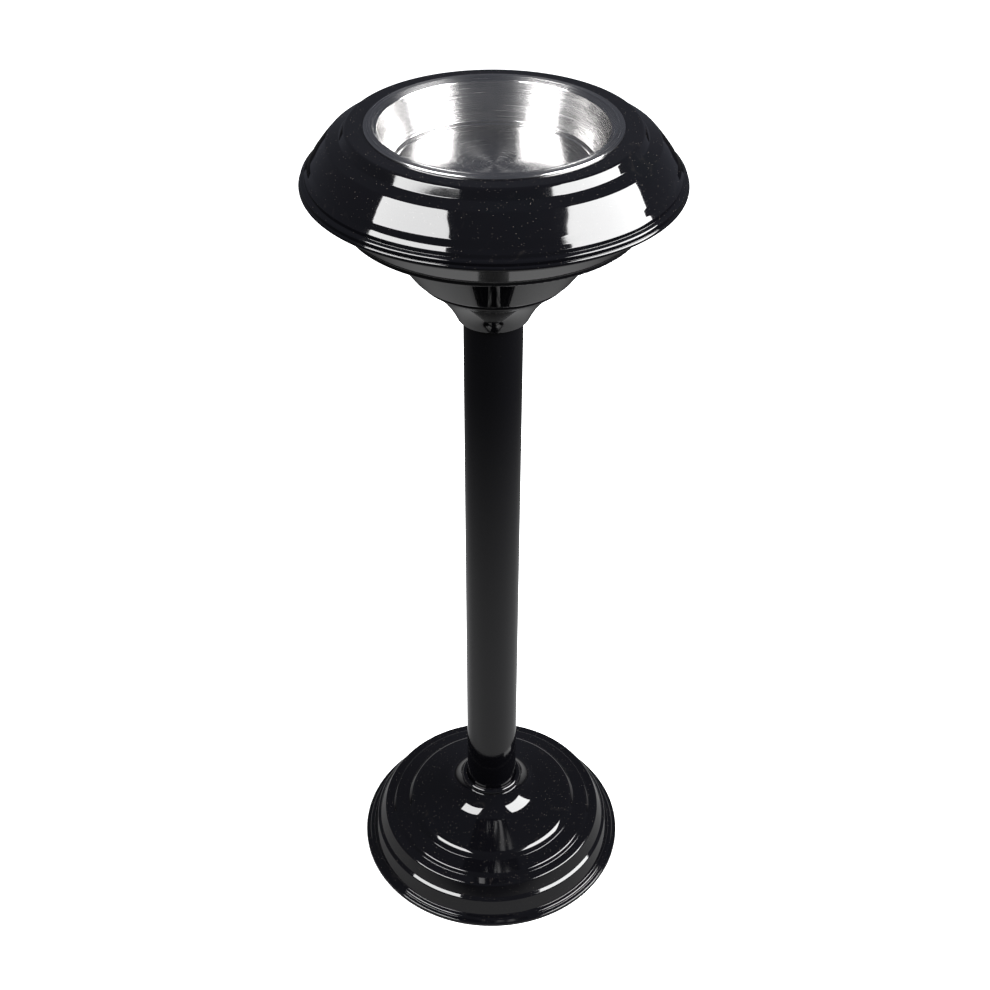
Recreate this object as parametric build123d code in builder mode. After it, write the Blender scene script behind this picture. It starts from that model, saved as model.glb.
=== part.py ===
from build123d import *
import os

# A free-standing ashtray stand: a weighted foot, a tube, and a head with a lift-out cup.
# All sizes are in millimetres.  +Z is up, the axis of the stand is Z, and the floor is Z = 0.
# One long tie rod pulls the foot, the tube and the head together.

# ---- sheet, tube and rod --------------------------------------------------------------
shell_sheet = 1.2          # steel sheet of the spun shells
cup_sheet = 0.8            # stainless sheet of the cup
tube_r = 19.0              # outside of the stem tube
tube_wall = 1.5
plug_height = 14.0         # each end of the tube has a centring plug
rod_r = 5.0                # M10 rod
thread_gap = 0.05          # rod to nut, on the radius
rod_hole_r = 5.4           # clearance hole for the rod
fit_gap = 0.15             # tube to the rings and lips around it

# ---- heights of the main joints ----------------------------------------------------------
foot_seat_z = 59.2         # top of the foot's neck, where the tube stands
neck_top_z = 509.2         # top end of the tube
bowl_bottom_z = neck_top_z + shell_sheet
bowl_flange_z = 548.2      # the lower bowl's flange lies here, on the upper bowl's floor
cover_hem_z = 569.0        # underside of the cover's turned-in hem
cover_top_z = 603.5        # flat top of the cover
cup_crest_z = 605.7        # highest ring of the cup, the height of the whole stand

# ---- radii -----------------------------------------------------------------------------
foot_r = 102.0
head_r = 114.3
cup_flange_r = 75.3
cup_mouth_r = 67.2
cup_floor_r = 60.8
cup_floor_z = 579.0
cover_opening_r = 68.9
bowl_hole_r = 79.0
rivet_circle_r = 82.0
base_screw_circle_r = 66.0

# ---- fasteners -------------------------------------------------------------------------
nut_flats = 17.0
nut_height = 8.0
nut_bevel = 0.9            # height of the chamfer on a nut's corners
washer_r = 10.0
washer_thick = 2.0
plate_thick = 3.0
top_plate_r = 32.0
bottom_plate_r = 20.0
sleeve_r = 9.0
rivet_r = 1.6
rivet_head_r = 3.2
rivet_head_height = 1.2
screw_r = 2.0
screw_head_r = 4.0
screw_head_height = 1.2
screw_hole_depth = 10.0    # into the ballast
spring_washer_r = 8.6
spring_washer_thick = 2.2

# ---- foot ------------------------------------------------------------------------------
pad_thick = 1.6
base_plate_r = 94.0
base_plate_thick = 1.2
ballast_r = 84.0
ballast_bottom_z = pad_thick + base_plate_thick
ballast_top_z = 29.0
nut_recess_r = 16.0
nut_recess_z = 17.0
collar_height = 4.0
collar_r = 22.9

# ---- bridge inside the head ------------------------------------------------------------
bridge_z = 556.0
bridge_width = 30.0
bridge_thick = 2.5
bridge_flat_r = 86.0
bridge_ramp_r = 98.0
bridge_end_r = 110.6


def sheet_section(corners, sheet):
    """Draw the cut edge of a bent sheet, as (x, y, bend radius) corners.

    The corners run along the outer side, and the sheet lies to their right.  Each bend keeps
    its centre, so the inner side's radius is one sheet smaller or larger.
    """
    points = [Vector(x, y) for x, y, _ in corners]
    runs = [(b - a).normalized() for a, b in zip(points, points[1:])]
    normals = [Vector(run.Y, -run.X) for run in runs]
    inner = [points[0] + normals[0] * sheet]
    inner_radii = []
    for corner, before, after in zip(corners[1:-1], normals, normals[1:]):
        bisector = (before + after) * (sheet / (1 + before.dot(after)))
        inner.append(Vector(corner[0], corner[1]) + bisector)
        turns_right = before.X * after.Y - before.Y * after.X < 0
        inner_radii.append(corner[2] - sheet if turns_right else corner[2] + sheet)
    inner.append(points[-1] + normals[-1] * sheet)
    FilletPolyline(*points, radius=[radius for _, _, radius in corners[1:-1]])
    FilletPolyline(*inner, radius=inner_radii)
    Line(points[0], inner[0])
    Line(points[-1], inner[-1])


def rod_washer(bottom_z):
    """A flat washer round the rod, standing on bottom_z."""
    with BuildPart() as washer:
        with BuildSketch(Plane.XY.offset(bottom_z)):
            Circle(washer_r)
            Circle(rod_hole_r, mode=Mode.SUBTRACT)
        extrude(amount=washer_thick)
    return washer.part


def rod_nut(bottom_z):
    """A hexagon nut with chamfered corners, screwed on the rod."""
    corner_r = nut_flats / 3 ** 0.5
    top_z = bottom_z + nut_height
    with BuildPart() as nut:
        with BuildSketch(Plane.XY.offset(bottom_z)):
            RegularPolygon(radius=corner_r, side_count=6)
        extrude(amount=nut_height)
        with BuildSketch(Plane.XZ):
            with BuildLine():
                Polyline((0, bottom_z), (nut_flats / 2, bottom_z), (corner_r, bottom_z + nut_bevel),
                         (corner_r, top_z - nut_bevel), (nut_flats / 2, top_z), (0, top_z), close=True)
            make_face()
        revolve(axis=Axis.Z, mode=Mode.INTERSECT)
        with BuildSketch(Plane.XY.offset(bottom_z)):
            Circle(rod_r + thread_gap)
        extrude(amount=nut_height, mode=Mode.SUBTRACT)
    return nut.part


def tube_plug(bottom_z):
    """A centring plug in an end of the tube, bored for the rod."""
    with BuildPart() as plug:
        with BuildSketch(Plane.XY.offset(bottom_z)):
            Circle(tube_r - tube_wall - 0.1)
            Circle(rod_hole_r, mode=Mode.SUBTRACT)
        extrude(amount=plug_height)
        chamfer(plug.edges().filter_by(GeomType.CIRCLE).group_by(SortBy.RADIUS)[-1], length=1.0)
    return plug.part


def save(part, name):
    """Name a finished piece and write it."""
    part.label = name
    export_step(part, f"parts/{name}.step")


os.makedirs("parts", exist_ok=True)

# ---- ash cup: spun stainless, loose in the head -------------------------------------------
with BuildPart() as ash_cup:
    with BuildSketch(Plane.XZ):
        with BuildLine():
            sheet_section([(0, cup_floor_z, 0),
                           (cup_floor_r - 3.4, cup_floor_z, 1.0),
                           (cup_floor_r - 2.6, cup_floor_z + 0.8, 1.1),
                           (cup_floor_r, cup_floor_z + 1.0, 1.0),
                           (cup_mouth_r, cup_crest_z - 2.4, 1.3),
                           (70.7, cup_crest_z, 1.0),
                           (71.9, cup_crest_z - 0.8, 0.7),
                           (cup_flange_r, cup_crest_z - 0.9, 1.0),
                           (cup_flange_r, cover_top_z, 0)], cup_sheet)
        make_face()
    revolve(axis=Axis.Z)
save(ash_cup.part, "ash_cup")

# ---- head cover: the wide stepped ring that carries the cup -------------------------------
with BuildPart() as head_cover:
    with BuildSketch(Plane.XZ):
        with BuildLine():
            sheet_section([(cover_opening_r, cover_top_z - 5.5, 0),
                           (cover_opening_r, cover_top_z, 1.6),
                           (86.0, cover_top_z, 2.4),
                           (89.4, 597.9, 1.2),
                           (97.0, 595.3, 2.6),
                           (101.9, 589.7, 60.0),
                           (106.65, 583.2, 8.0),
                           (108.75, 579.5, 4.0),
                           (110.5, 577.3, 1.3),
                           (110.9, 575.2, 0.3),
                           (113.3, 574.4, 1.3),
                           (113.5, 571.9, 0.3),
                           (head_r, 571.4, 1.25),
                           (head_r, cover_hem_z, 1.5),
                           (109.0, cover_hem_z, 0)], shell_sheet)
        make_face()
    revolve(axis=Axis.Z)
save(head_cover.part, "head_cover")

# ---- upper bowl: the cone under the cover, with a beaded lower edge -----------------------
with BuildPart() as upper_bowl:
    with BuildSketch(Plane.XZ):
        with BuildLine():
            sheet_section([(111.2, cover_hem_z - shell_sheet, 0),
                           (107.8, cover_hem_z - shell_sheet, 2.0),
                           (90.9, 550.2, 0.6),
                           (90.5, bowl_flange_z - shell_sheet, 1.4),
                           (bowl_hole_r, bowl_flange_z - shell_sheet, 0)], shell_sheet)
        make_face()
    revolve(axis=Axis.Z)
    with BuildSketch(Plane.XY.offset(bowl_flange_z - shell_sheet)):
        with PolarLocations(rivet_circle_r, 6):
            Circle(rivet_r)
    extrude(amount=shell_sheet, mode=Mode.SUBTRACT)
save(upper_bowl.part, "upper_bowl")

# ---- lower bowl: flat-bottomed, hung in the upper bowl by its flange ----------------------
with BuildPart() as lower_bowl:
    with BuildSketch(Plane.XZ):
        with BuildLine():
            sheet_section([(87.0, bowl_flange_z, 0),
                           (76.9, bowl_flange_z, 1.8),
                           (49.7, bowl_bottom_z, 5.0),
                           (rod_hole_r, bowl_bottom_z, 0)], shell_sheet)
        make_face()
    revolve(axis=Axis.Z)
    with BuildSketch(Plane.XY.offset(bowl_flange_z)):
        with PolarLocations(rivet_circle_r, 6):
            Circle(rivet_r)
    extrude(amount=shell_sheet, mode=Mode.SUBTRACT)
save(lower_bowl.part, "lower_bowl")

# ---- rivets that hold the two bowls together ----------------------------------------------
with BuildPart() as bowl_rivets:
    with BuildSketch(Plane.XY.offset(bowl_flange_z - shell_sheet)):
        with PolarLocations(rivet_circle_r, 6):
            Circle(rivet_r)
    extrude(amount=2 * shell_sheet)
    with BuildSketch(Plane.XY.offset(bowl_flange_z - shell_sheet)):
        with PolarLocations(rivet_circle_r, 6):
            Circle(rivet_head_r)
    extrude(amount=-rivet_head_height, taper=25)
    with BuildSketch(Plane.XY.offset(bowl_flange_z + shell_sheet)):
        with PolarLocations(rivet_circle_r, 6):
            Circle(rivet_head_r)
    extrude(amount=rivet_head_height, taper=25)
save(bowl_rivets.part, "bowl_rivets")

# ---- neck cone: the small trumpet under the bowls, clamped on the tube's end --------------
with BuildPart() as neck_cone:
    with BuildSketch(Plane.XZ):
        with BuildLine():
            sheet_section([(rod_hole_r, bowl_bottom_z, 0),
                           (47.0, bowl_bottom_z, 1.4),
                           (46.9, 507.6, 1.6),
                           (31.4, 496.2, 58.0),
                           (22.6, 477.8, 1.4),
                           (tube_r + fit_gap, 477.8, 0)], shell_sheet)
        make_face()
    revolve(axis=Axis.Z)
save(neck_cone.part, "neck_cone")

# ---- stem tube and its end plugs ----------------------------------------------------------
with BuildPart() as stem_tube:
    with BuildSketch(Plane.XY.offset(foot_seat_z)):
        Circle(tube_r)
        Circle(tube_r - tube_wall, mode=Mode.SUBTRACT)
    extrude(amount=neck_top_z - foot_seat_z)
save(stem_tube.part, "stem_tube")
save(tube_plug(foot_seat_z), "lower_plug")
save(tube_plug(neck_top_z - plug_height), "upper_plug")

# ---- clamp inside the lower bowl ----------------------------------------------------------
top_plate_z = bowl_bottom_z + shell_sheet
with BuildPart() as top_plate:
    with BuildSketch(Plane.XY.offset(top_plate_z)):
        Circle(top_plate_r)
        Circle(rod_hole_r, mode=Mode.SUBTRACT)
    extrude(amount=plate_thick)
save(top_plate.part, "top_plate")
save(rod_washer(top_plate_z + plate_thick), "top_washer")
save(rod_nut(top_plate_z + plate_thick + washer_thick), "top_nut")

# ---- bridge: a strap that presses the cover's hem down on the bowls -----------------------
ramp_rise = cover_hem_z + shell_sheet - bridge_z
with BuildPart() as cover_bridge:
    with BuildSketch(Plane.XZ.offset(-bridge_width / 2)):
        with BuildLine():
            arm_ends = [(bridge_flat_r, bridge_z), (bridge_ramp_r, bridge_z + ramp_rise),
                        (bridge_end_r, bridge_z + ramp_rise)]
            strap = [(-r, z, 3.0) for r, z in reversed(arm_ends)] + [(r, z, 3.0) for r, z in arm_ends]
            sheet_section([(x, z + bridge_thick, bend) for x, z, bend in strap], bridge_thick)
        make_face()
    extrude(amount=bridge_width)
    with BuildSketch(Plane.XY.offset(bridge_z)):
        Circle(rod_hole_r)
    extrude(amount=bridge_thick, mode=Mode.SUBTRACT)
save(cover_bridge.part, "cover_bridge")
save(rod_washer(bridge_z + bridge_thick), "cover_washer")

# ---- cap nut on the rod's top end ---------------------------------------------------------
cap_nut_z = bridge_z + bridge_thick + washer_thick
rod_top_z = cap_nut_z + nut_height
dome_r = nut_flats / 2 - 0.8
dome_rise = 5.2
dome_curve_r = (dome_r ** 2 + dome_rise ** 2) / (2 * dome_rise)
with BuildPart() as cover_cap_nut:
    add(rod_nut(cap_nut_z))
    with BuildSketch(Plane.XZ):
        with BuildLine():
            Polyline((0, rod_top_z + dome_rise), (0, rod_top_z), (dome_r, rod_top_z))
            RadiusArc((dome_r, rod_top_z), (0, rod_top_z + dome_rise), radius=-dome_curve_r)
        make_face()
    revolve(axis=Axis.Z)
save(cover_cap_nut.part, "cover_cap_nut")

# ---- tie rod ------------------------------------------------------------------------------
rod_bottom_z = 4.5
with BuildPart() as tie_rod:
    with BuildSketch(Plane.XY.offset(rod_bottom_z)):
        Circle(rod_r)
    extrude(amount=rod_top_z - 0.4 - rod_bottom_z)
    chamfer(tie_rod.edges().filter_by(GeomType.CIRCLE), length=0.8)
save(tie_rod.part, "tie_rod")

# ---- foot collar: a rounded ring round the tube's lower end -------------------------------
with BuildPart() as foot_collar:
    with BuildSketch(Plane.XZ):
        with BuildLine():
            FilletPolyline((tube_r + fit_gap, foot_seat_z), (tube_r + fit_gap, foot_seat_z + collar_height),
                           (collar_r, foot_seat_z + collar_height), (collar_r, foot_seat_z),
                           radius=[0.6, 2.4])
            Line((collar_r, foot_seat_z), (tube_r + fit_gap, foot_seat_z))
        make_face()
    revolve(axis=Axis.Z)
save(foot_collar.part, "foot_collar")

# ---- foot shell: flared neck, then four steps down to a beaded rim ------------------------
with BuildPart() as foot_shell:
    with BuildSketch(Plane.XZ):
        with BuildLine():
            sheet_section([(rod_hole_r, foot_seat_z, 0),
                           (23.0, foot_seat_z, 1.4),
                           (28.0, 48.8, 24.0),
                           (62.8, 37.6, 7.0),
                           (66.2, 33.8, 0.9),
                           (76.8, 31.0, 1.9),
                           (78.9, 28.7, 0.9),
                           (85.2, 28.2, 1.8),
                           (89.6, 18.8, 0.9),
                           (92.0, 17.2, 1.7),
                           (95.4, 5.2, 0.9),
                           (98.0, 4.4, 1.5),
                           (99.0, 3.3, 0.5),
                           (foot_r, 2.6, 1.5),
                           (foot_r, 0, 0)], shell_sheet)
        make_face()
    revolve(axis=Axis.Z)
save(foot_shell.part, "foot_shell")

# ---- clamp and ballast inside the foot ----------------------------------------------------
bottom_plate_z = foot_seat_z - shell_sheet - plate_thick
with BuildPart() as bottom_plate:
    with BuildSketch(Plane.XY.offset(bottom_plate_z)):
        Circle(bottom_plate_r)
        Circle(rod_hole_r, mode=Mode.SUBTRACT)
    extrude(amount=plate_thick)
save(bottom_plate.part, "bottom_plate")

with BuildPart() as spacer_sleeve:
    with BuildSketch(Plane.XY.offset(ballast_top_z)):
        Circle(sleeve_r)
        Circle(rod_hole_r, mode=Mode.SUBTRACT)
    extrude(amount=bottom_plate_z - ballast_top_z)
save(spacer_sleeve.part, "spacer_sleeve")

with BuildPart() as foot_ballast:
    with BuildSketch(Plane.XZ):
        with BuildLine():
            FilletPolyline((rod_hole_r, nut_recess_z), (rod_hole_r, ballast_top_z), (60.0, ballast_top_z),
                           (ballast_r - 6, 22.0), (ballast_r, 10.0), (ballast_r, ballast_bottom_z),
                           radius=[0.6, 6.0, 4.0, 2.0])
            Polyline((ballast_r, ballast_bottom_z), (nut_recess_r, ballast_bottom_z),
                     (nut_recess_r, nut_recess_z), (rod_hole_r, nut_recess_z))
        make_face()
    revolve(axis=Axis.Z)
    with BuildSketch(Plane.XY.offset(ballast_bottom_z)):
        with PolarLocations(base_screw_circle_r, 4):
            Circle(screw_r)
    extrude(amount=screw_hole_depth, mode=Mode.SUBTRACT)
save(foot_ballast.part, "foot_ballast")

spring_washer_z = nut_recess_z - washer_thick - spring_washer_thick
save(rod_washer(nut_recess_z - washer_thick), "bottom_washer")
with BuildPart() as spring_washer:
    with BuildSketch(Plane.XY.offset(spring_washer_z)):
        Circle(spring_washer_r)
        Circle(rod_hole_r, mode=Mode.SUBTRACT)
        with Locations(((rod_hole_r + spring_washer_r) / 2, 0)):
            Rectangle(6.0, 1.2, rotation=20, mode=Mode.SUBTRACT)
    extrude(amount=spring_washer_thick)
save(spring_washer.part, "spring_washer")
save(rod_nut(spring_washer_z - nut_height), "bottom_nut")

# ---- base plate, its screws and the pad the foot stands on --------------------------------
with BuildPart() as base_plate:
    with BuildSketch(Plane.XY.offset(pad_thick)):
        Circle(base_plate_r)
        with PolarLocations(base_screw_circle_r, 4):
            Circle(screw_r + 0.2, mode=Mode.SUBTRACT)
    extrude(amount=base_plate_thick)
save(base_plate.part, "base_plate")

with BuildPart() as base_screws:
    with BuildSketch(Plane.XY.offset(pad_thick)):
        with PolarLocations(base_screw_circle_r, 4):
            Circle(screw_r)
    extrude(amount=base_plate_thick + screw_hole_depth - 1)
    with BuildSketch(Plane.XY.offset(pad_thick)):
        with PolarLocations(base_screw_circle_r, 4):
            Circle(screw_head_r)
    extrude(amount=-screw_head_height, taper=20)
save(base_screws.part, "base_screws")

with BuildPart() as base_pad:
    with BuildSketch(Plane.XY):
        Circle(base_plate_r - 2)
        Circle(base_screw_circle_r + 8, mode=Mode.SUBTRACT)
    extrude(amount=pad_thick)
save(base_pad.part, "base_pad")
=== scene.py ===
# %% [markdown]
# # A standing ashtray in black enamel and brushed stainless steel
#
# The object is a slim floor stand: a stepped foot, a tube, and a wide head that carries a loose
# steel cup.  Its shapes arrive from the CAD model, and this lesson gives them their finishes, adds
# the few pieces that the CAD model only blocks in, and lights them.
#
# Everything is in metres.  The stand's axis is Z and the floor is Z = 0.

# %% Load the frame
import math
import bmesh
import bpy
from mathutils import Matrix, Vector


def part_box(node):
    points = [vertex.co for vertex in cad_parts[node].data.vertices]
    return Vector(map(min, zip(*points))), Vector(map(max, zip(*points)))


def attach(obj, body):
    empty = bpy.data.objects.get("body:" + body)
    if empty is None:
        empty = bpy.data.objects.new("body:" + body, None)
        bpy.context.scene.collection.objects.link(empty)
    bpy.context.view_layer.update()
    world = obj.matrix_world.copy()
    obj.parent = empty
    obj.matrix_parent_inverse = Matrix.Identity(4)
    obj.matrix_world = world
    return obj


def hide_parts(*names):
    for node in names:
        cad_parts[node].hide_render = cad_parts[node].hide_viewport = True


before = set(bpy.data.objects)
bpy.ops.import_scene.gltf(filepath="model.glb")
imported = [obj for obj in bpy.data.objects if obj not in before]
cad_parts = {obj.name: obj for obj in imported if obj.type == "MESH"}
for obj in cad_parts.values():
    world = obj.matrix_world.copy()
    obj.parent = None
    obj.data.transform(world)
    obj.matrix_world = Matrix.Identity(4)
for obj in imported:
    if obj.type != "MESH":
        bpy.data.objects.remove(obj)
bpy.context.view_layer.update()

scene = bpy.context.scene

# %% [markdown]
# ## Camera
#
# The stand is seen from the front, well above its head, by a person's eye at 93 cm.  A camera can be
# placed by rotation angles, but a matrix is clearer: its three columns are the camera's right, its
# up, and the direction behind it.  A normal lens of about 53 mm keeps the true perspective.

# %% Camera at eye height, looking down
MM = 0.001
camera_place = Vector((1.91, -793.43, 934.0)) * MM
camera_pitch = math.radians(36.95)
camera_roll = math.radians(0.308)
camera_yaw = math.radians(-0.023)

ahead = Vector((math.sin(camera_yaw) * math.cos(camera_pitch),
                math.cos(camera_yaw) * math.cos(camera_pitch),
                -math.sin(camera_pitch)))
level_right = Vector((math.cos(camera_yaw), -math.sin(camera_yaw), 0))
level_up = level_right.cross(ahead)
right = level_right * math.cos(camera_roll) + level_up * math.sin(camera_roll)
up = level_up * math.cos(camera_roll) - level_right * math.sin(camera_roll)

camera_data = bpy.data.cameras.new("camera")
camera_data.sensor_width = 36.0
camera_data.lens = 52.82
camera_data.clip_start = 0.01
camera_data.clip_end = 50.0
camera = bpy.data.objects.new("camera", camera_data)
scene.collection.objects.link(camera)
camera.matrix_world = Matrix(((right.x, up.x, -ahead.x, camera_place.x),
                              (right.y, up.y, -ahead.y, camera_place.y),
                              (right.z, up.z, -ahead.z, camera_place.z),
                              (0, 0, 0, 1)))
scene.camera = camera
print("camera at", tuple(round(v, 3) for v in camera_place))

# %% [markdown]
# ## Helpers for materials
#
# A material is a small network of nodes.  One function adds a node, sets what is fixed on it, and
# links what is not, so that a material reads as a list of steps.  Colours are written as the hex
# values a colour picker shows, and one function turns them into the linear values a shader needs.

# %% Colours and nodes
def linear(hex_colour):
    """The linear RGBA value of an sRGB hex colour."""
    channels = [int(hex_colour[i:i + 2], 16) / 255 for i in (1, 3, 5)]
    return [c / 12.92 if c <= 0.04045 else ((c + 0.055) / 1.055) ** 2.4 for c in channels] + [1.0]


def new_material(name):
    """An empty material, with its node tree and its shader."""
    material = bpy.data.materials.new(name)
    material.use_nodes = True
    return material, material.node_tree, material.node_tree.nodes["Principled BSDF"]


def add_node(tree, kind, values=None, links=None, **settings):
    """Add a node: settings are its own options, values its fixed inputs, links its linked inputs."""
    made = tree.nodes.new(kind)
    for name, value in settings.items():
        setattr(made, name, value)
    for socket, value in (values or {}).items():
        made.inputs[socket].default_value = value
    for socket, source in (links or {}).items():
        tree.links.new(source, made.inputs[socket])
    return made


def join(tree, source, shader, socket):
    """Link a result to an input of the shader."""
    tree.links.new(source, shader.inputs[socket])


def blend_colours(tree, factor, first_hex, second_hex):
    """A colour that goes from the first to the second as the factor goes from 0 to 1."""
    mix = tree.nodes.new("ShaderNodeMix")
    mix.data_type = "RGBA"
    mix.inputs[6].default_value = linear(first_hex)
    mix.inputs[7].default_value = linear(second_hex)
    tree.links.new(factor, mix.inputs[0])
    return mix.outputs[2]


print("black enamel in linear light:", [round(c, 4) for c in linear("#0e0e10")])

# %% [markdown]
# ## Gloss black enamel
#
# The stand's sheet metal is dipped or sprayed, then stoved, in a gloss black enamel.  To the eye it
# is a deep black whose only brightness is what it reflects.  Up close it has a very slight
# orange peel, a few finger smudges that dull the gloss, faint streaks left by a cloth, and fine pale
# dust on what faces up.
#
# A dielectric shader with an IOR of 1.46 gives the reflections.  The orange peel and the dust are
# patterns on Object coordinates, which are in metres, so each scale is one over a real size.

# %% Gloss black stoved enamel
PEEL_SIZE = 2.5 * MM          # from crest to crest of the orange peel
PEEL_DEPTH = 0.004 * MM
CLEAN_ROUGHNESS = 0.045
SMUDGED_ROUGHNESS = 0.11
SMUDGE_SIZE = 45 * MM
DUST_SPACING = 1.5 * MM
DUST_CORE = 0.06              # a speck's radius as a part of that spacing
WIPE_SIZE = 22 * MM           # faint streaks that a cloth left

enamel, tree, shader = new_material("black_stoved_enamel")
place = add_node(tree, "ShaderNodeTexCoord").outputs["Object"]
smudges = add_node(tree, "ShaderNodeTexNoise", {"Scale": 1 / SMUDGE_SIZE, "Detail": 5.0, "Roughness": 0.6},
                   {"Vector": place}).outputs["Fac"]
gloss = add_node(tree, "ShaderNodeMapRange",
                 {"From Min": 0.45, "From Max": 0.75,
                  "To Min": CLEAN_ROUGHNESS, "To Max": SMUDGED_ROUGHNESS},
                 {"Value": smudges}).outputs["Result"]
specks = add_node(tree, "ShaderNodeTexVoronoi", {"Scale": 1 / DUST_SPACING, "Randomness": 1.0},
                  {"Vector": place})
speck_shape = add_node(tree, "ShaderNodeMapRange",
                       {"From Min": DUST_CORE, "From Max": DUST_CORE * 2, "To Min": 1.0, "To Max": 0.0},
                       {"Value": specks.outputs["Distance"]}).outputs["Result"]
facing = add_node(tree, "ShaderNodeSeparateXYZ",
                  links={"Vector": add_node(tree, "ShaderNodeTexCoord").outputs["Normal"]}).outputs["Z"]
settled = add_node(tree, "ShaderNodeMapRange",
                   {"From Min": 0.0, "From Max": 0.9, "To Min": 0.05, "To Max": 1.0},
                   {"Value": facing}).outputs["Result"]
speck_luck = add_node(tree, "ShaderNodeSeparateColor",
                      links={"Color": specks.outputs["Color"]}).outputs["Red"]
kept = add_node(tree, "ShaderNodeMapRange", {"From Min": 0.35, "From Max": 1.0},
                {"Value": speck_luck}).outputs["Result"]
dust = add_node(tree, "ShaderNodeMath", links={0: speck_shape, 1: settled}, operation="MULTIPLY").outputs[0]
dust = add_node(tree, "ShaderNodeMath", links={0: dust, 1: kept}, operation="MULTIPLY").outputs[0]
streaks = add_node(tree, "ShaderNodeTexNoise", {"Scale": 1 / WIPE_SIZE, "Detail": 6.0, "Roughness": 0.65,
                                                "Distortion": 1.6}, {"Vector": place}).outputs["Fac"]
wiped = add_node(tree, "ShaderNodeMapRange", {"From Min": 0.62, "From Max": 0.8, "To Max": 0.06},
                 {"Value": streaks}).outputs["Result"]
wiped = add_node(tree, "ShaderNodeMath", links={0: wiped, 1: settled}, operation="MULTIPLY").outputs[0]
film = add_node(tree, "ShaderNodeMath", links={0: dust, 1: wiped}, operation="MAXIMUM").outputs[0]
join(tree, blend_colours(tree, film, "#050507", "#857d76"), shader, "Base Color")
join(tree, gloss, shader, "Roughness")
peel = add_node(tree, "ShaderNodeTexNoise", {"Scale": 1 / PEEL_SIZE, "Detail": 1.0},
                {"Vector": place}).outputs["Fac"]
peel_bump = add_node(tree, "ShaderNodeBump", {"Strength": 1.0, "Distance": PEEL_DEPTH},
                     {"Height": peel}).outputs["Normal"]
join(tree, peel_bump, shader, "Normal")
shader.inputs["IOR"].default_value = 1.46
print("made", enamel.name)

# %% [markdown]
# ## Brushed stainless steel of the cup
#
# The cup is pressed from stainless sheet and brushed on a lathe, so its scratches run round the
# axis.  A scratched metal spreads light across its scratches: that draws bright spokes on the cup's
# floor that meet in the middle.  The shader's anisotropy does this, with a tangent that runs round Z.
# The fine bright and dark rings are noise whose coordinates are the radius and the height.

# %% Lathe-brushed stainless steel
RING_SIZE = 0.4 * MM          # drawn coarser than the real 0.05 mm scratches, so that it shows
SHARPEST = 0.17               # roughness of the brightest and dullest rings
DULLEST = 0.29
SCRATCH_DEPTH = 0.008 * MM

brushed, tree, shader = new_material("lathe_brushed_stainless")
place = add_node(tree, "ShaderNodeTexCoord").outputs["Object"]
axes = add_node(tree, "ShaderNodeSeparateXYZ", links={"Vector": place})
flat = add_node(tree, "ShaderNodeCombineXYZ",
                links={"X": axes.outputs["X"], "Y": axes.outputs["Y"]}).outputs[0]
radius = add_node(tree, "ShaderNodeVectorMath", links={0: flat}, operation="LENGTH").outputs["Value"]
spoke = add_node(tree, "ShaderNodeVectorMath", links={0: flat}, operation="NORMALIZE").outputs["Vector"]
rings_at = add_node(tree, "ShaderNodeMath", {1: 1 / RING_SIZE}, {0: radius}, operation="MULTIPLY").outputs[0]
rings_up = add_node(tree, "ShaderNodeMath", {1: 1 / RING_SIZE}, {0: axes.outputs["Z"]},
                    operation="MULTIPLY").outputs[0]
both = add_node(tree, "ShaderNodeMath", links={0: rings_at, 1: rings_up}, operation="ADD").outputs[0]
scratches = add_node(tree, "ShaderNodeTexNoise", {"Scale": 1.0, "Detail": 3.0, "Roughness": 0.7},
                     {"Vector": spoke, "W": both}, noise_dimensions="4D").outputs["Fac"]
tone = add_node(tree, "ShaderNodeMapRange", {"From Min": 0.3, "From Max": 0.7},
                {"Value": scratches}).outputs["Result"]
join(tree, blend_colours(tree, tone, "#a09f9f", "#cfcecd"), shader, "Base Color")
sheen = add_node(tree, "ShaderNodeMapRange", {"To Min": SHARPEST, "To Max": DULLEST},
                 {"Value": tone}).outputs["Result"]
join(tree, sheen, shader, "Roughness")
grain_bump = add_node(tree, "ShaderNodeBump", {"Strength": 0.35, "Distance": SCRATCH_DEPTH},
                      {"Height": scratches}).outputs["Normal"]
join(tree, grain_bump, shader, "Normal")
round_z = add_node(tree, "ShaderNodeTangent", direction_type="RADIAL", axis="Z").outputs["Tangent"]
join(tree, round_z, shader, "Tangent")
shader.inputs["Metallic"].default_value = 1.0
shader.inputs["Anisotropic"].default_value = 0.85
shader.inputs["Anisotropic Rotation"].default_value = 0.25
print("made", brushed.name)


# %% [markdown]
# ## Spun sheet-metal shells
#
# The cup, the cover, the bowls, the neck and the foot are spun on a lathe: a flat disc is pressed
# over a turning form.  Gloss black mirrors every facet, so the cover, neck and foot are modelled
# again here, finely, to the CAD shapes' own sizes, and so is the cup.  The two bowls stay as they
# are.  One way to model a spun shell is to draw a profile curve and use Screw.
# Here a ring of edges is extruded from corner to corner, because it keeps the corners as edge
# loops that Bevel can round one by one.  Solidify gives the sheet its thickness, and Weighted
# Normal keeps the flats flat beside the tight bends.

# %% A helper that models one spun shell
STEPS_ROUND = 192             # segments round the axis
DEGREES_PER_STEP = 7          # of each bend


def select_ring(radius, height):
    """In edit mode, select only the edges of the ring at this radius and height."""
    mesh = bmesh.from_edit_mesh(bpy.context.object.data)
    for edge in mesh.edges:
        on_ring = all(abs(math.hypot(v.co.x, v.co.y) - radius) < 1e-5 and abs(v.co.z - height) < 1e-5
                      for v in edge.verts)
        edge.select_set(on_ring)
    mesh.select_flush_mode()
    bmesh.update_edit_mesh(bpy.context.object.data)


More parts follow.
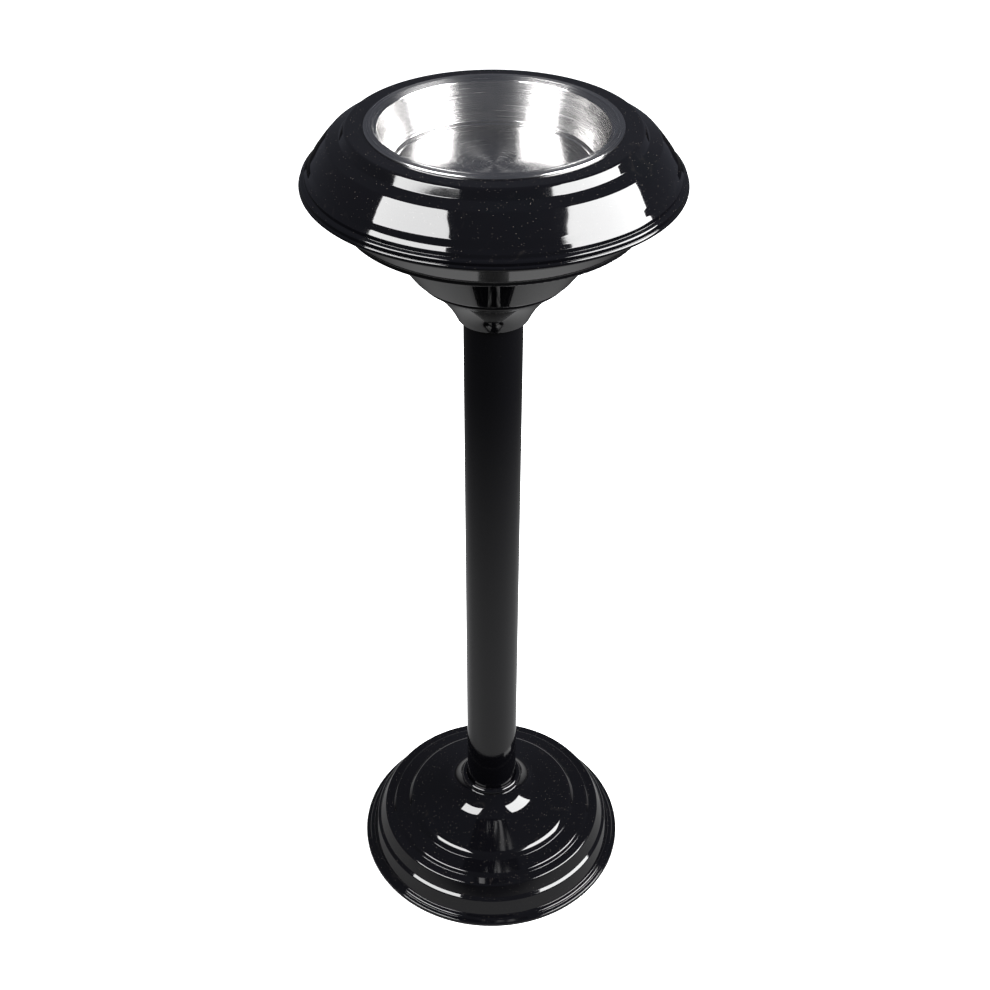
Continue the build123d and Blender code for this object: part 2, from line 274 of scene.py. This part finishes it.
def spin_shell(name, corners, sheet):
    """Model a spun shell from (radius, height, bend radius) corners of its outer side, in mm."""
    corners = [(r * MM, z * MM, bend * MM) for r, z, bend in corners]
    (r, z, _), rest = corners[0], corners[1:]
    bpy.ops.object.select_all(action="DESELECT")
    bpy.ops.mesh.primitive_circle_add(vertices=STEPS_ROUND, radius=r, location=(0, 0, z))
    shell = bpy.context.object
    shell.name = name
    bpy.ops.object.transform_apply(location=True)
    bpy.ops.object.mode_set(mode="EDIT")
    bpy.ops.mesh.select_mode(type="EDGE")
    bpy.ops.mesh.select_all(action="SELECT")
    for next_r, next_z, _ in rest:
        bpy.ops.mesh.extrude_edges_move(TRANSFORM_OT_translate={"value": (0, 0, next_z - z)})
        bpy.ops.transform.resize(value=(next_r / r, next_r / r, 1), center_override=(0, 0, 0))
        r, z = next_r, next_z
    for (r0, z0, _), (r1, z1, bend), (r2, z2, _) in zip(corners, corners[1:], corners[2:]):
        turn = Vector((r1 - r0, z1 - z0)).angle(Vector((r2 - r1, z2 - z1)))
        select_ring(r1, z1)
        steps = max(2, round(math.degrees(turn) / DEGREES_PER_STEP))
        bpy.ops.mesh.bevel(offset=bend * math.tan(turn / 2), segments=steps, profile=0.5,
                           affect="EDGES", clamp_overlap=False)
    bpy.ops.mesh.select_all(action="SELECT")
    bpy.ops.mesh.remove_doubles(threshold=1e-6)
    mesh = bmesh.from_edit_mesh(shell.data)
    first_run = Vector((corners[1][0] - corners[0][0], corners[1][1] - corners[0][1])).normalized()
    mesh.faces.ensure_lookup_table()
    probe = min(mesh.faces, key=lambda f: (f.calc_center_median() - Vector(
        ((corners[0][0] + corners[1][0]) / 2, 0, (corners[0][1] + corners[1][1]) / 2))).length)
    outward = Vector((-first_run.y, 0, first_run.x))
    if probe.normal.dot(outward) < 0:
        bpy.ops.mesh.flip_normals()
    bpy.ops.object.mode_set(mode="OBJECT")
    solid = shell.modifiers.new("sheet", "SOLIDIFY")
    solid.thickness = sheet * MM
    solid.offset = -1
    solid.use_even_offset = True
    bpy.ops.object.modifier_apply(modifier=solid.name)
    bpy.ops.object.shade_smooth_by_angle(angle=math.radians(35))
    weighted = shell.modifiers.new("weighted", "WEIGHTED_NORMAL")
    weighted.keep_sharp = True
    bpy.ops.object.modifier_apply(modifier=weighted.name)
    print(name, len(shell.data.polygons), "faces")
    return shell


def dress(piece, material, node, body):
    """Give a finished piece its material, and let it stand for a CAD node."""
    piece.data.materials.clear()
    piece.data.materials.append(material)
    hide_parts(node)
    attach(piece, body)


# %% [markdown]
# ## The head: cover, bowls and neck
#
# The cover is one wide ring with two steps, a skirt and two small beads at its rim.  The neck is a
# trumpet that flares up from the tube.  Each is a list of corners, and a corner has the radius that
# the press gave it, which is what draws the thin highlights.

# %% Head shells
SHELL_SHEET = 1.2
CUP_SHEET = 0.8

cover = spin_shell("cover_ring", [
    (68.9, 598.0, 0), (68.9, 603.5, 1.6), (86.0, 603.5, 2.4), (89.4, 597.9, 1.2), (97.0, 595.3, 2.6),
    (101.9, 589.7, 60.0), (106.65, 583.2, 8.0), (108.75, 579.5, 4.0), (110.5, 577.3, 1.3),
    (110.9, 575.2, 0.3), (113.3, 574.4, 1.3), (113.5, 571.9, 0.3), (114.3, 571.4, 1.25),
    (114.3, 569.0, 1.5), (109.0, 569.0, 0)], SHELL_SHEET)
dress(cover, enamel, "head_cover", "stand")

neck = spin_shell("neck_trumpet", [
    (5.4, 510.4, 0), (47.0, 510.4, 1.4), (46.9, 507.6, 1.6), (31.4, 496.2, 58.0), (22.6, 477.8, 1.4),
    (19.15, 477.8, 0)], SHELL_SHEET)
dress(neck, enamel, "neck_cone", "stand")

# %% [markdown]
# ## The foot
#
# The foot flares out from the tube in one long hollow curve, and then steps down to a beaded rim.
# The steps stiffen the sheet.  A lathe could also cut such a shape, but a spun shell is lighter, and
# the weight goes inside it.

# %% Foot shell
foot = spin_shell("stepped_foot", [
    (5.4, 59.2, 0), (23.0, 59.2, 1.4), (28.0, 48.8, 24.0), (62.8, 37.6, 7.0), (66.2, 33.8, 0.9),
    (76.8, 31.0, 1.9), (78.9, 28.7, 0.9), (85.2, 28.2, 1.8), (89.6, 18.8, 0.9), (92.0, 17.2, 1.7),
    (95.4, 5.2, 0.9), (98.0, 4.4, 1.5), (99.0, 3.3, 0.5), (102.0, 2.6, 1.5), (102.0, 0.0, 0)], SHELL_SHEET)
dress(foot, enamel, "foot_shell", "stand")

# %% [markdown]
# ## The cup
#
# The cup has a flat floor in a shallow ring, a wall that opens upwards, and a flange that curls down
# onto the cover.  Its sheet is thinner than the stand's, and it rides on its own body, because it
# lifts out.

# %% Cup
cup = spin_shell("ash_cup_shell", [
    (0.02, 579.0, 0), (57.4, 579.0, 1.0), (58.2, 579.8, 1.1), (60.8, 580.0, 1.0), (67.2, 603.3, 1.3),
    (70.7, 605.7, 1.0), (71.9, 604.9, 0.7), (75.3, 604.8, 1.0), (75.3, 603.5, 0)], CUP_SHEET)
dress(cup, brushed, "ash_cup", "cup")


# %% [markdown]
# ## Zinc-plated steel
#
# The tie rod, its nuts and washers, and the base screws are bought fasteners.  Bright zinc plating
# is a cool grey with faint warm and blue patches, satin rather than polished, and slightly pitted.
# Two noises do it: a broad one for the patches, and a fine one for the pits.

# %% Zinc plating
PATCH_SIZE = 4 * MM
PIT_SIZE = 0.25 * MM


def grain(tree, size, detail=3.0):
    """Noise with a real size in metres, on the piece's own coordinates."""
    place = add_node(tree, "ShaderNodeTexCoord").outputs["Object"]
    return add_node(tree, "ShaderNodeTexNoise", {"Scale": 1 / size, "Detail": detail, "Roughness": 0.6},
                    {"Vector": place}).outputs["Fac"]


def spread(tree, source, low, high, start=0.3, end=0.7):
    """Carry a noise's usual range to another one."""
    return add_node(tree, "ShaderNodeMapRange",
                    {"From Min": start, "From Max": end, "To Min": low, "To Max": high},
                    {"Value": source}).outputs["Result"]


def bump(tree, height, depth, shader):
    """Bend the shader's normal by a height, whose full range is a depth in metres."""
    bent = add_node(tree, "ShaderNodeBump", {"Strength": 1.0, "Distance": depth}, {"Height": height})
    join(tree, bent.outputs["Normal"], shader, "Normal")


zinc, tree, shader = new_material("zinc_plated_steel")
patches = spread(tree, grain(tree, PATCH_SIZE), 0.0, 1.0)
pits = grain(tree, PIT_SIZE)
join(tree, blend_colours(tree, patches, "#b4b8bd", "#c6c2b6"), shader, "Base Color")
join(tree, spread(tree, pits, 0.26, 0.42), shader, "Roughness")
bump(tree, pits, 0.015 * MM, shader)
shader.inputs["Metallic"].default_value = 1.0
print("made", zinc.name)

# %% [markdown]
# ## Rolled steel, cast iron, nylon and foam rubber
#
# The straps and plates inside are cut from cold-rolled sheet, still with its dark oil film and a
# grain that runs one way.  The ballast is cast in sand, so its skin is coarse and slightly rusty.
# The tube's plugs are moulded nylon with a fine spark texture.  The pad under the foot is closed-cell
# foam rubber, whose cut skin shows its cells, and cells are what a Voronoi texture draws.

# %% Cold-rolled steel
ROLL_GRAIN = 0.6 * MM
OIL_SIZE = 18 * MM

rolled, tree, shader = new_material("cold_rolled_steel")
place = add_node(tree, "ShaderNodeTexCoord").outputs["Object"]
along = add_node(tree, "ShaderNodeVectorMath", {1: (0.04, 1.0, 1.0)}, {0: place},
                 operation="MULTIPLY").outputs[0]
lines = add_node(tree, "ShaderNodeTexNoise", {"Scale": 1 / ROLL_GRAIN, "Detail": 3.0},
                 {"Vector": along}).outputs["Fac"]
oil = spread(tree, grain(tree, OIL_SIZE), 0.0, 1.0)
join(tree, blend_colours(tree, oil, "#8b8e92", "#6e6b67"), shader, "Base Color")
join(tree, spread(tree, lines, 0.32, 0.5), shader, "Roughness")
bump(tree, lines, 0.012 * MM, shader)
shader.inputs["Metallic"].default_value = 1.0
print("made", rolled.name)

# %% Sand-cast iron
SAND_SIZE = 0.9 * MM
RUST_SIZE = 12 * MM

cast, tree, shader = new_material("sand_cast_iron")
sand = grain(tree, SAND_SIZE, 4.0)
rust = spread(tree, grain(tree, RUST_SIZE, 5.0), 0.0, 1.0, 0.5, 0.75)
join(tree, blend_colours(tree, rust, "#4b4a4a", "#6a4a36"), shader, "Base Color")
join(tree, spread(tree, sand, 0.62, 0.85), shader, "Roughness")
join(tree, spread(tree, rust, 1.0, 0.0, 0.0, 1.0), shader, "Metallic")
bump(tree, sand, 0.12 * MM, shader)
print("made", cast.name)

# %% Moulded nylon
SPARK_SIZE = 0.35 * MM

nylon, tree, shader = new_material("moulded_nylon")
sparks = grain(tree, SPARK_SIZE)
join(tree, blend_colours(tree, spread(tree, sparks, 0.0, 1.0), "#1c1c1d", "#29292a"), shader, "Base Color")
join(tree, spread(tree, sparks, 0.38, 0.52), shader, "Roughness")
bump(tree, sparks, 0.02 * MM, shader)
shader.inputs["IOR"].default_value = 1.53
print("made", nylon.name)

# %% Foam rubber
CELL_SIZE = 0.6 * MM

foam, tree, shader = new_material("closed_cell_foam_rubber")
place = add_node(tree, "ShaderNodeTexCoord").outputs["Object"]
cells = add_node(tree, "ShaderNodeTexVoronoi", {"Scale": 1 / CELL_SIZE},
                 {"Vector": place}).outputs["Distance"]
join(tree, blend_colours(tree, cells, "#131313", "#2b2a29"), shader, "Base Color")
join(tree, spread(tree, cells, 0.8, 0.95, 0.0, 0.7), shader, "Roughness")
bump(tree, cells, 0.1 * MM, shader)
shader.inputs["IOR"].default_value = 1.5
print("made", foam.name)


# %% [markdown]
# ## Finishes for the CAD nodes that keep their shape
#
# A CAD node whose shape is right stays as it is, and only its material slots are filled.  The bowls,
# tube and collar share the stand's enamel.

# %% Finishes of the CAD nodes that keep their shape
def paint(material, *names):
    """Give CAD nodes a material in place of the one they came with."""
    for name in names:
        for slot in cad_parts[name].material_slots:
            slot.material = material
    print(material.name, "on", len(names), "nodes")


paint(enamel, "upper_bowl", "lower_bowl", "stem_tube", "foot_collar")
paint(rolled, "bowl_rivets", "top_plate", "cover_bridge", "bottom_plate", "spacer_sleeve", "base_plate")
paint(zinc, "tie_rod", "top_washer", "top_nut", "cover_washer", "cover_cap_nut", "bottom_washer",
      "spring_washer", "bottom_nut")
paint(cast, "foot_ballast")
paint(nylon, "lower_plug", "upper_plug")

# %% [markdown]
# ## The pad and the screws under the foot
#
# Turned upside down, the foot shows a foam ring and four cross-head screws.  The ring is a circle of
# edges extruded inwards, made thick with Solidify, and bevelled, because a punched foam edge is soft.
# Each screw starts as a small square grid, the middle of its head.  The grid's border is extruded out
# to a round rim and then up along the shank, and the faces of the cross are pushed inwards.  A Boolean
# cut would do the cross too, but it leaves long thin faces in the dome.

# %% Foam pad
pad_low, pad_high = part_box("base_pad")
PAD_INNER = 74 * MM
PAD_EDGE = 0.5 * MM           # rounding of the punched edges

bpy.ops.object.select_all(action="DESELECT")
bpy.ops.mesh.primitive_circle_add(vertices=STEPS_ROUND // 2, radius=pad_high[0], location=(0, 0, pad_low[2]))
pad = bpy.context.object
pad.name = "foam_pad"
bpy.ops.object.transform_apply(location=True)
bpy.ops.object.mode_set(mode="EDIT")
bpy.ops.mesh.select_mode(type="EDGE")
bpy.ops.mesh.select_all(action="SELECT")
bpy.ops.mesh.extrude_edges_move()
inward = PAD_INNER / pad_high[0]
bpy.ops.transform.resize(value=(inward, inward, 1), center_override=(0, 0, 0))
bpy.ops.mesh.select_all(action="SELECT")
bpy.ops.mesh.normals_make_consistent(inside=False)
bpy.ops.object.mode_set(mode="OBJECT")
thicken = pad.modifiers.new("foam", "SOLIDIFY")
thicken.thickness = pad_high[2] - pad_low[2]
thicken.offset = 1 if pad.data.polygons[0].normal.z > 0 else -1
bpy.ops.object.modifier_apply(modifier=thicken.name)
rounding = pad.modifiers.new("punched edge", "BEVEL")
rounding.width = PAD_EDGE
rounding.segments = 3
bpy.ops.object.modifier_apply(modifier=rounding.name)
bpy.ops.object.shade_smooth_by_angle(angle=math.radians(40))
dress(pad, foam, "base_pad", "stand")
print("pad from", round(min(v.co.z for v in pad.data.vertices), 5), "to",
      round(max(v.co.z for v in pad.data.vertices), 5))

# %% Cross-head screws
SCREW_CIRCLE = 66 * MM
HEAD_R = 3.9 * MM
HEAD_RISE = 1.1 * MM
SHANK_R = 1.95 * MM
CROSS_ARM = 2.0 * MM
CROSS_HALF = 0.45 * MM
CROSS_DEPTH = 0.7 * MM
plate_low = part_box("base_plate")[0][2]
screw_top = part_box("base_screws")[1][2]


def select_faces(shell, wanted):
    """In edit mode, select only the faces for which wanted(middle, normal) is true."""
    mesh = bmesh.from_edit_mesh(shell.data)
    for face in mesh.faces:
        face.select_set(bool(wanted(face.calc_center_median(), face.normal)))
    mesh.select_flush_mode()
    bmesh.update_edit_mesh(shell.data)


def pan_screw(name, x, y):
    """A cross-head screw driven upwards at one place, with its head below the plate."""
    bpy.ops.object.select_all(action="DESELECT")
    bpy.ops.mesh.primitive_grid_add(x_subdivisions=8, y_subdivisions=8, size=2 * CROSS_ARM)
    screw = bpy.context.object
    screw.name = name
    bpy.ops.object.mode_set(mode="EDIT")
    mesh = bmesh.from_edit_mesh(screw.data)
    lines = [-CROSS_ARM, -CROSS_ARM * 0.85, -CROSS_ARM * 0.5, -CROSS_HALF, 0.0]
    lines += [-line for line in reversed(lines[:-1])]
    for vert in mesh.verts:
        column = round((vert.co.x + CROSS_ARM) / (2 * CROSS_ARM) * 8)
        row = round((vert.co.y + CROSS_ARM) / (2 * CROSS_ARM) * 8)
        vert.co.x, vert.co.y = lines[column], lines[row]
    bmesh.update_edit_mesh(screw.data)
    bpy.ops.mesh.select_mode(type="EDGE")
    bpy.ops.mesh.select_all(action="DESELECT")
    for edge in bmesh.from_edit_mesh(screw.data).edges:
        edge.select_set(edge.is_boundary)
    for reach, drop in ((0.82, 0.1), (1.0, 0.35), (1.0, HEAD_RISE / HEAD_R * 0.99)):
        bpy.ops.mesh.extrude_edges_move()
        mesh = bmesh.from_edit_mesh(screw.data)
        for vert in (v for v in mesh.verts if v.select):
            out = vert.co.xy.normalized() * HEAD_R * reach
            vert.co = (out.x, out.y, -drop * HEAD_R)
        bmesh.update_edit_mesh(screw.data)
    for radius, height in ((SHANK_R, -HEAD_RISE), (SHANK_R, -HEAD_RISE - (screw_top - plate_low))):
        bpy.ops.mesh.extrude_edges_move()
        mesh = bmesh.from_edit_mesh(screw.data)
        for vert in (v for v in mesh.verts if v.select):
            out = vert.co.xy.normalized() * radius
            vert.co = (out.x, out.y, height)
        bmesh.update_edit_mesh(screw.data)
    bpy.ops.mesh.edge_face_add()
    select_faces(screw, lambda at, facing: abs(facing.z) > 0.9 and at.z > -0.05 * HEAD_R
                 and min(abs(at.x), abs(at.y)) < CROSS_HALF and max(abs(at.x), abs(at.y)) < CROSS_ARM * 0.8)
    bpy.ops.mesh.extrude_region_move(TRANSFORM_OT_translate={"value": (0, 0, -CROSS_DEPTH)})
    bpy.ops.mesh.select_all(action="SELECT")
    bpy.ops.mesh.normals_make_consistent(inside=False)
    bpy.ops.object.mode_set(mode="OBJECT")
    screw.rotation_euler = (math.pi, 0, 0.4)
    screw.location = (x, y, plate_low - HEAD_RISE)
    bpy.ops.object.transform_apply(location=True, rotation=True)
    bpy.ops.object.shade_smooth_by_angle(angle=math.radians(30))
    return screw


screws = [pan_screw("cross_screw_%d" % i, SCREW_CIRCLE * math.cos(i * math.pi / 2),
                    SCREW_CIRCLE * math.sin(i * math.pi / 2)) for i in range(4)]
for screw in screws:
    dress(screw, zinc, "base_screws", "stand")
print("screw heads down to", round(min(v.co.z for v in screws[0].data.vertices), 5))

# %% [markdown]
# ## Floor and light
#
# The stand is on a plain pale floor between two large softboxes, one to each side of the camera.
# Gloss black shows light only as reflections, so the boxes' places and sizes draw the bright windows
# on the head.  The room behind them is nearly dark.
#
# A white floor would also show in the tube as a broad grey band.  So the floor has two shaders, and
# Light Path chooses between them: the camera sees white paint with a little light of its own, and
# every other ray sees a dark floor with a painted pool of light round the foot, paler near the axis
# and darker further out.  Large black flags round the stand would do this in a studio, but they
# would have to stay out of the picture.

# %% Floor
# The pool is painted light: its brightness is the floor's diffuse colour, not a lamp.
PAINTED_POOL_INNER = 0.16             # metres from the axis: full brightness inside this circle
PAINTED_POOL_OUTER = 0.72             # and the least outside this one
PAINTED_POOL_BRIGHT = 0.2             # how much light each reflects to all but the camera
PAINTED_POOL_DARK = 0.03
FLOOR_GLOW = 0.6              # keeps the far floor as white as the near floor

bpy.ops.object.select_all(action="DESELECT")
bpy.ops.mesh.primitive_circle_add(vertices=96, radius=4.0, fill_type="NGON", location=(0, 0, 0))
floor = bpy.context.object
floor.name = "floor"
floor_paint, tree, shader = new_material("white_floor_with_painted_pool")
shader.inputs["Base Color"].default_value = linear("#f4f4f4")
shader.inputs["Roughness"].default_value = 0.9
shader.inputs["Specular IOR Level"].default_value = 0.0
shader.inputs["Emission Color"].default_value = linear("#ffffff")
shader.inputs["Emission Strength"].default_value = FLOOR_GLOW
place = add_node(tree, "ShaderNodeTexCoord").outputs["Object"]
distance = add_node(tree, "ShaderNodeVectorMath", links={0: place}, operation="LENGTH").outputs["Value"]
# Painted pool of light: the diffuse colour darkens with distance from the axis.
painted_light_pool = add_node(tree, "ShaderNodeMapRange",
                {"From Min": PAINTED_POOL_INNER, "From Max": PAINTED_POOL_OUTER,
                 "To Min": PAINTED_POOL_BRIGHT, "To Max": PAINTED_POOL_DARK},
                {"Value": distance}, interpolation_type="SMOOTHSTEP").outputs["Result"]
dim = add_node(tree, "ShaderNodeBsdfDiffuse", links={"Color": painted_light_pool}).outputs["BSDF"]
seen = add_node(tree, "ShaderNodeLightPath").outputs["Is Camera Ray"]
both = add_node(tree, "ShaderNodeMixShader", links={0: seen, 1: dim, 2: shader.outputs["BSDF"]}).outputs[0]
tree.links.new(both, tree.nodes["Material Output"].inputs["Surface"])
floor.data.materials.append(floor_paint)
print("made", floor.name, "with", floor_paint.name)


# %% Softboxes
BOX_DISTANCE = 1.25           # from the stand's axis to the plane of each box


def softbox(name, facing, offset, height, lean, wide, tall, watts):
    """An upright rectangular light.  Its plane faces a bearing counted from the camera's side, its
    middle is slid sideways by the offset, and its top leans sideways by the lean, in degrees."""
    turn, lean = math.radians(facing), math.radians(lean)
    outward = Vector((math.sin(turn), -math.cos(turn), 0))
    sideways = Vector((math.cos(turn), math.sin(turn), 0))
    upward = Vector((0, 0, 1))
    data = bpy.data.lights.new(name, "AREA")
    data.shape = "RECTANGLE"
    data.size = wide
    data.size_y = tall
    data.energy = watts
    box = bpy.data.objects.new(name, data)
    scene.collection.objects.link(box)
    across = sideways * math.cos(lean) - upward * math.sin(lean)
    along = upward * math.cos(lean) + sideways * math.sin(lean)
    at = outward * BOX_DISTANCE + sideways * offset + upward * height
    box.matrix_world = Matrix(((across.x, along.x, outward.x, at.x),
                               (across.y, along.y, outward.y, at.y),
                               (across.z, along.z, outward.z, at.z),
                               (0, 0, 0, 1)))
    print(name, "at", tuple(round(v, 2) for v in at))


softbox("softbox_left", -56.0, -0.17, 2.02, -25.0, 1.24, 1.5, 120)
softbox("softbox_right", 75.0, 0.07, 1.425, 38.0, 1.36, 1.21, 124)

# %% The dark room
world = bpy.data.worlds.new("dark_room")
scene.world = world
world.use_nodes = True
world.node_tree.nodes["Background"].inputs["Color"].default_value = (0.10, 0.105, 0.125, 1)
world.node_tree.nodes["Background"].inputs["Strength"].default_value = 1.0
scene.view_settings.view_transform = "Standard"
print("room:", world.name)
